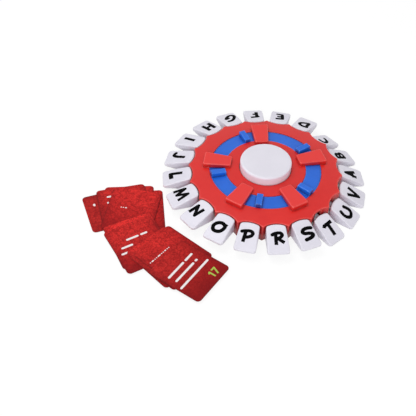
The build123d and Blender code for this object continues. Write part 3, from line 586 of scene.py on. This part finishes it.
def card_stock(number):
    """Coated card, mottled red, that darkens towards its foot and sides, with a painted shadow
    line along them and its colours scaled by its painted light level.
    """
    paint = Paint(f"card_red_{number}")
    low, high = (Vector(corner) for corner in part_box(f"card_{number}"))
    local = paint.add("ShaderNodeMapping", vector_type="TEXTURE")
    paint.feed(local.inputs["Vector"], paint.place)
    local.inputs["Location"].default_value = (low + high) / 2
    local.inputs["Rotation"].default_value = (0, 0, math.radians(CARD_TURNS[number - 1]))
    along, across, _ = paint.parts(local.outputs["Vector"])
    across = paint.math("ABSOLUTE", across)
    foot = CARD_LENGTH / 2
    side = CARD_WIDTH / 2
    # painted light level of this card, which scales all its colours
    shade = CARD_PAINTED_LIGHT[number - 1]
    light, dull, dark = (
        [shade * share for share in colour] for colour in (CARD_LIGHT, CARD_DULL, CARD_DARK)
    )
    body = paint.mix(paint.remap(along, CARD_FALL_START, foot), light, dark)
    blotches = paint.remap(paint.noise(BLOTCH_SCALE, 4, 0.65), *BLOTCHES)
    body = paint.mix(blotches, body, dull)
    for scale, reach, share in STRANDS:
        contour = paint.math("ABSOLUTE", paint.math("SUBTRACT", paint.noise(scale, 4, 0.6), 0.5))
        body = paint.mix(paint.remap(contour, 0.0, reach, share, 0.0), body, CARD_STRANDS)
    border = paint.most(
        paint.remap(along, foot - FOOT_BORDER, foot), paint.remap(across, side - SIDE_BORDER, side)
    )
    wear = paint.product(border, paint.spread(paint.noise(WEAR_SCALE), *WEAR_SHARES))
    body = paint.mix(wear, body, CARD_BORDER)
    # painted shadow line along the foot and sides
    line = paint.most(
        paint.remap(along, foot - EDGE_SHADOW_INNER, foot - EDGE_SHADOW_OUTER, 0, EDGE_SHADOW_SHARE),
        paint.remap(across, side - EDGE_SHADOW_INNER, side - EDGE_SHADOW_OUTER, 0, EDGE_SHADOW_SHARE),
    )
    body = paint.mix(line, body, CARD_EDGE_SHADOW)
    rounded, edges = paint.soft_edge(CARD_EDGE_RADIUS)
    body = paint.mix(paint.product(edges, CARD_RUB_SHARE), body, CARD_RUB)
    fibre = paint.noise(FIBRE_SCALE, 3, 0.6)
    rough = paint.spread(fibre, *CARD_ROUGHNESS)
    normal = paint.bump(fibre, FIBRE_DEPTH, rounded)
    return paint.finish(body, rough, normal, specular=CARD_SHINE)


def ink(name, colour, shade, roughness):
    """Printed ink, a little uneven."""
    paint = Paint(name)
    speckle = paint.noise(SPECKLE_SCALE, 3, 0.6)
    body = paint.mix(paint.remap(speckle, *SPECKLE_RANGE), shade, colour)
    rough = paint.spread(speckle, roughness - 0.08, roughness + 0.1)
    normal = paint.bump(speckle, SPECKLE_DEPTH)
    return paint.finish(body, rough, normal, specular=INK_SHINE)


def board_paint():
    """Green solder mask with pale copper lines under it."""
    paint = Paint("board_green")
    lines = paint.add("ShaderNodeTexBrick")
    paint.feed(lines.inputs["Vector"], paint.place)
    lines.inputs["Scale"].default_value = BOARD_SCALE
    lines.inputs["Mortar Size"].default_value = BOARD_LINE
    lines.inputs["Color1"].default_value = (0.012, 0.12, 0.035, 1)
    lines.inputs["Color2"].default_value = (0.016, 0.15, 0.045, 1)
    lines.inputs["Mortar"].default_value = (0.05, 0.30, 0.11, 1)
    grain = paint.noise(BOARD_GRAIN_SCALE)
    rough = paint.spread(grain, *BOARD_ROUGHNESS)
    return paint.finish(lines.outputs["Color"], rough, paint.bump(grain, BOARD_GRAIN_DEPTH))


# Each plastic: its own colour, a darker tone, the painted highlight on its edges, the painted
# shade in its corners, and its roughness
MATERIALS = {
    "housing_red": plastic(
        "housing_red", (0.71, 0.017, 0.013), (0.66, 0.012, 0.010), (0.93, 0.14, 0.12),
        (0.24, 0.003, 0.004), 0.30,
    ),
    "ring_blue": plastic(
        "ring_blue", (0.010, 0.14, 0.70), (0.008, 0.12, 0.62), (0.04, 0.24, 0.88),
        (0.002, 0.025, 0.20), 0.30,
    ),
    "key_white": plastic(
        "key_white", (0.74, 0.72, 0.805), (0.70, 0.68, 0.765), (0.83, 0.81, 0.87),
        (0.62, 0.57, 0.65), 0.38,
    ),
    "button_white": plastic(
        "button_white", (0.765, 0.745, 0.82), (0.735, 0.715, 0.79), (0.92, 0.91, 0.94),
        (0.62, 0.42, 0.48), 0.32,
    ),
    "inner_white": plastic(
        "inner_white", (0.72, 0.71, 0.68), (0.67, 0.66, 0.63), (0.80, 0.79, 0.76),
        (0.40, 0.39, 0.37), 0.5,
    ),
    "switch_black": plastic(
        "switch_black", (0.018, 0.018, 0.02), (0.012, 0.012, 0.014), (0.06, 0.06, 0.06),
        (0.006, 0.006, 0.007), 0.45,
    ),
    "cell_metal": plastic(
        "cell_metal", (0.05, 0.052, 0.06), (0.04, 0.041, 0.047), (0.3, 0.3, 0.3),
        (0.02, 0.02, 0.02), 0.3,
    ),
    "screw_steel": metal("screw_steel", (0.62, 0.62, 0.60), (0.50, 0.50, 0.49), 0.32),
    "spring_steel": metal("spring_steel", (0.58, 0.58, 0.60), (0.44, 0.44, 0.46), 0.28),
    "contact_steel": metal("contact_steel", (0.70, 0.69, 0.66), (0.58, 0.57, 0.55), 0.25),
    "board_green": board_paint(),
}
LETTER_INK = ink("letter_ink", (0.0012, 0.0012, 0.0015), (0.003, 0.003, 0.0035), 0.6)
CARD_INK = ink("card_ink", (0.88, 0.86, 0.86), (0.76, 0.70, 0.70), 0.5)
NUMBER_INK = ink("number_ink", (0.42, 0.56, 0.10), (0.34, 0.47, 0.08), 0.5)


def paint_nodes():
    """Gives every CAD node the material of its slot."""
    for part in frame["record"]["subparts"]:
        node = part["node"]
        if node.startswith("card_"):
            material = card_stock(int(node.removeprefix("card_")))
        else:
            material = MATERIALS[part["material_slot"]]
        for slot in NODES[node].material_slots:
            slot.material = material


def surface(node):
    """Search tree over a CAD node's mesh."""
    mesh = NODES[node].data
    return BVHTree.FromPolygons(
        [vertex.co for vertex in mesh.vertices], [face.vertices for face in mesh.polygons]
    )


def curve_points(points):
    """Points along a smooth curve through the given ones."""
    closed = points[0] == points[-1]
    ring = points[:-1] if closed else points
    last = len(ring) - 1
    found = []
    for index in range(len(points) - 1):
        around = range(index - 1, index + 3)
        if closed:
            four = [ring[place % len(ring)] for place in around]
        else:
            four = [ring[min(max(place, 0), last)] for place in around]
        before, start, end, after = (Vector(point) for point in four)
        for step in range(CURVE_STEPS):
            share = step / CURVE_STEPS
            found.append(
                0.5 * (
                    2 * start
                    + (end - before) * share
                    + (2 * before - 5 * start + 4 * end - after) * share ** 2
                    + (3 * start - before - 3 * end + after) * share ** 3
                )
            )
    found.append(Vector(points[-1]))
    return found


def disc(centre, radius):
    """Polygon that rounds a corner or an end."""
    turns = (2 * math.pi * side / DISC_SIDES for side in range(DISC_SIDES))
    return [centre + radius * Vector((math.cos(turn), math.sin(turn))) for turn in turns]


def stroke_shapes(kind, points, width):
    """Polygons that cover a stroke of the pen: a quad for each run, a disc at each corner."""
    path = curve_points(points) if kind == "curve" else [Vector(point) for point in points]
    shapes = []
    for start, end in zip(path, path[1:]):
        side = (end - start).orthogonal().normalized() * width / 2
        shapes.append([start - side, end - side, end + side, start + side])
    inner = path if points[0] == points[-1] else path[1:-1]
    shapes.extend(disc(point, width / 2) for point in inner)
    return shapes


def flat_mesh(name, shapes, step):
    """Flat mesh of what overlapping polygons in millimetres cover, cut along a grid."""
    points = []
    edges = []
    faces = []
    for shape in shapes:
        turned = sum(a.x * b.y - b.x * a.y for a, b in zip(shape, shape[1:] + shape[:1]))
        faces.append(list(range(len(points), len(points) + len(shape))))
        points.extend(shape if turned > 0 else shape[::-1])
    reach = max(max(abs(point.x), abs(point.y)) for point in points) + step
    count = int(reach / step)
    for index in range(-count, count + 1):
        for ends in (((index * step, -reach), (index * step, reach)),
                     ((-reach, index * step), (reach, index * step))):
            edges.append((len(points), len(points) + 1))
            points.extend(Vector(end) for end in ends)
    found = delaunay_2d_cdt(points, edges, faces, 0, 0.0001)
    kept = [face for face, source in zip(found[2], found[5]) if source]
    used = sorted({corner for face in kept for corner in face})
    place = {corner: order for order, corner in enumerate(used)}
    mesh = bpy.data.meshes.new(name)
    mesh.from_pydata(
        [(found[0][corner].x * MM, found[0][corner].y * MM, 0) for corner in used],
        [],
        [[place[corner] for corner in face] for face in kept],
    )
    return mesh


def key_place(index, letter):
    """Frame on a key's top at rest: X to the letter's right, Y up the slope, Z out."""
    angle = math.radians(KEY_PITCH * (index + 0.5) + WHEEL_TURN)
    tilt = math.radians(PRESS_ANGLE) if letter in PRESSED else 0.0
    out = Vector((math.cos(angle), math.sin(angle), 0))
    side = Vector((-math.sin(angle), math.cos(angle), 0))
    reach = LETTER_RADIUS - PIVOT_RADIUS
    rise = LETTER_HEIGHT - PIVOT_HEIGHT
    radius = PIVOT_RADIUS + reach * math.cos(tilt) + rise * math.sin(tilt)
    height = PIVOT_HEIGHT + rise * math.cos(tilt) - reach * math.sin(tilt)
    slope = CAP_SLOPE + tilt
    up = Vector((0, 0, math.sin(slope))) - out * math.cos(slope)
    place = Matrix((side, up, side.cross(up))).transposed().to_4x4()
    place.translation = out * radius + Vector((0, 0, height))
    return place


def make_letter(index, letter):
    """Letter printed on a key's crowned top."""
    shapes = []
    for kind, *points in STROKES[letter]:
        shapes.extend(stroke_shapes(kind, points, PEN_WIDTHS.get(letter, PEN_WIDTH)))
    mesh = flat_mesh(f"letter_{letter}", shapes, LETTER_CELL)
    place = key_place(index, letter)
    outward = place.to_3x3().col[2]
    tree = surface(f"key_{letter}")
    for vertex in mesh.vertices:
        flat = place @ vertex.co
        hit = tree.ray_cast(flat + outward * PROBE_RISE, -outward, PROBE_REACH)[0]
        vertex.co = (flat if hit is None else hit) + outward * LETTER_LIFT
    mesh.materials.append(LETTER_INK)
    piece = bpy.data.objects.new(f"letter_{letter}", mesh)
    bpy.context.scene.collection.objects.link(piece)
    thick = piece.modifiers.new("thickness", "SOLIDIFY")
    thick.thickness = LETTER_THICKNESS
    thick.offset = 1.0
    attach(piece, f"key_{letter}")


def make_print(number):
    """Plain bars in rows, and a plain number, printed on a card."""
    low, high = (Vector(corner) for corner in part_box(f"card_{number}"))
    turn = math.radians(CARD_TURNS[number - 1] + 90)
    place = Matrix.Translation(((low.x + high.x) / 2, (low.y + high.y) / 2, high.z + PRINT_LIFT))
    place = place @ Matrix.Rotation(turn, 4, "Z")
    bars = []
    for height, left, width, lengths in CARD_ROWS[number - 1]:
        for length in lengths:
            ends = [Vector((left + inset, height)) for inset in (width / 2, length - width / 2)]
            if length > width:
                bars.extend(stroke_shapes("line", ends, width))
            bars.extend(disc(end, width / 2) for end in ends)
            left += length + BAR_GAP * width
    figures = []
    digits = str(NUMBER_FIRST + number - 1)
    for index, digit in enumerate(digits):
        middle = (len(digits) - 1) / 2
        shift = Vector(NUMBER_PLACE) + Vector(((index - middle) * DIGIT_STEP, 0))
        for kind, *points in DIGITS[digit]:
            moved = [tuple(Vector(point) + shift) for point in points]
            figures.extend(stroke_shapes(kind, moved, NUMBER_PEN))
    for name, shapes, material in (("bars", bars, CARD_INK), ("number", figures, NUMBER_INK)):
        mesh = flat_mesh(f"{name}_{number}", shapes, PRINT_CELL)
        mesh.transform(place)
        mesh.materials.append(material)
        piece = bpy.data.objects.new(f"{name}_{number}", mesh)
        bpy.context.scene.collection.objects.link(piece)
        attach(piece, f"card_{number}")


def make_springs():
    """Copies of the springs' meshes, tied to the wheel, in place of the CAD nodes."""
    for node, (joint, travel) in SPRINGS.items():
        piece = bpy.data.objects.new(f"{node}_wire", NODES[node].data.copy())
        bpy.context.scene.collection.objects.link(piece)
        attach(piece, "wheel")
        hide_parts(node)
        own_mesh(piece)


def make_floor():
    """Pale floor that reads as white and keeps the object's shadow."""
    mesh = bpy.data.meshes.new("floor")
    shape = bmesh.new()
    bmesh.ops.create_grid(
        shape, x_segments=FLOOR_CELLS, y_segments=FLOOR_CELLS, size=FLOOR_REACH
    )
    shape.to_mesh(mesh)
    shape.free()
    floor = bpy.data.objects.new("floor", mesh)
    floor.location = (0, 0, -FLOOR_DROP)
    bpy.context.scene.collection.objects.link(floor)
    paint = Paint("floor_white")
    paint.shader.inputs["Base Color"].default_value = FLOOR_WHITE
    paint.shader.inputs["Roughness"].default_value = FLOOR_ROUGHNESS
    paint.shader.inputs["Specular IOR Level"].default_value = 0.0
    glow = paint.add("ShaderNodeEmission")
    glow.inputs["Strength"].default_value = FLOOR_GLOW
    rays = paint.add("ShaderNodeLightPath")
    seen = paint.most(rays.outputs["Is Camera Ray"], rays.outputs["Is Glossy Ray"])
    seen = paint.most(seen, rays.outputs["Is Transmission Ray"])
    blend = paint.add("ShaderNodeMixShader")
    paint.feed(blend.inputs[0], paint.product(seen, FLOOR_GLOW_SHARE))
    paint.feed(blend.inputs[1], paint.shader.outputs[0])
    paint.feed(blend.inputs[2], glow.outputs[0])
    paint.feed(paint.tree.nodes["Material Output"].inputs["Surface"], blend.outputs[0])
    mesh.materials.append(paint.material)


def make_world():
    """Pale sky, brighter at the horizon than overhead, and pure white to the camera."""
    world = bpy.data.worlds.new("studio")
    bpy.context.scene.world = world
    world.use_nodes = True
    tree = world.node_tree
    background = tree.nodes["Background"]
    place = tree.nodes.new("ShaderNodeTexCoord")
    parts = tree.nodes.new("ShaderNodeSeparateXYZ")
    fall = tree.nodes.new("ShaderNodeMapRange")
    rays = tree.nodes.new("ShaderNodeLightPath")
    strength = tree.nodes.new("ShaderNodeMapRange")
    tree.links.new(place.outputs["Generated"], parts.inputs["Vector"])
    tree.links.new(parts.outputs["Z"], fall.inputs["Value"])
    fall.inputs["To Min"].default_value = SKY_LOW
    fall.inputs["To Max"].default_value = SKY_HIGH
    tree.links.new(rays.outputs["Is Camera Ray"], strength.inputs["Value"])
    tree.links.new(fall.outputs["Result"], strength.inputs["To Min"])
    strength.inputs["To Max"].default_value = 1.0
    tree.links.new(strength.outputs["Result"], background.inputs["Strength"])
    background.inputs["Color"].default_value = (1, 1, 1, 1)


def make_lamp(name, place, size, power):
    """Square soft box that faces the wheel."""
    data = bpy.data.lights.new(name, "AREA")
    data.shape = "SQUARE"
    data.size = size
    data.energy = power
    lamp = bpy.data.objects.new(name, data)
    lamp.location = place
    lamp.rotation_mode = "QUATERNION"
    lamp.rotation_quaternion = (-Vector(place)).to_track_quat("-Z", "Y")
    bpy.context.scene.collection.objects.link(lamp)


make_camera()
bpy.context.scene.view_settings.view_transform = "Standard"
make_world()
for lamp_name, settings in LAMPS.items():
    make_lamp(lamp_name, *settings)
make_floor()
paint_nodes()
for order, key in enumerate(LETTERS):
    make_letter(order, key)
for number in range(1, len(CARD_TURNS) + 1):
    make_print(number)
make_springs()
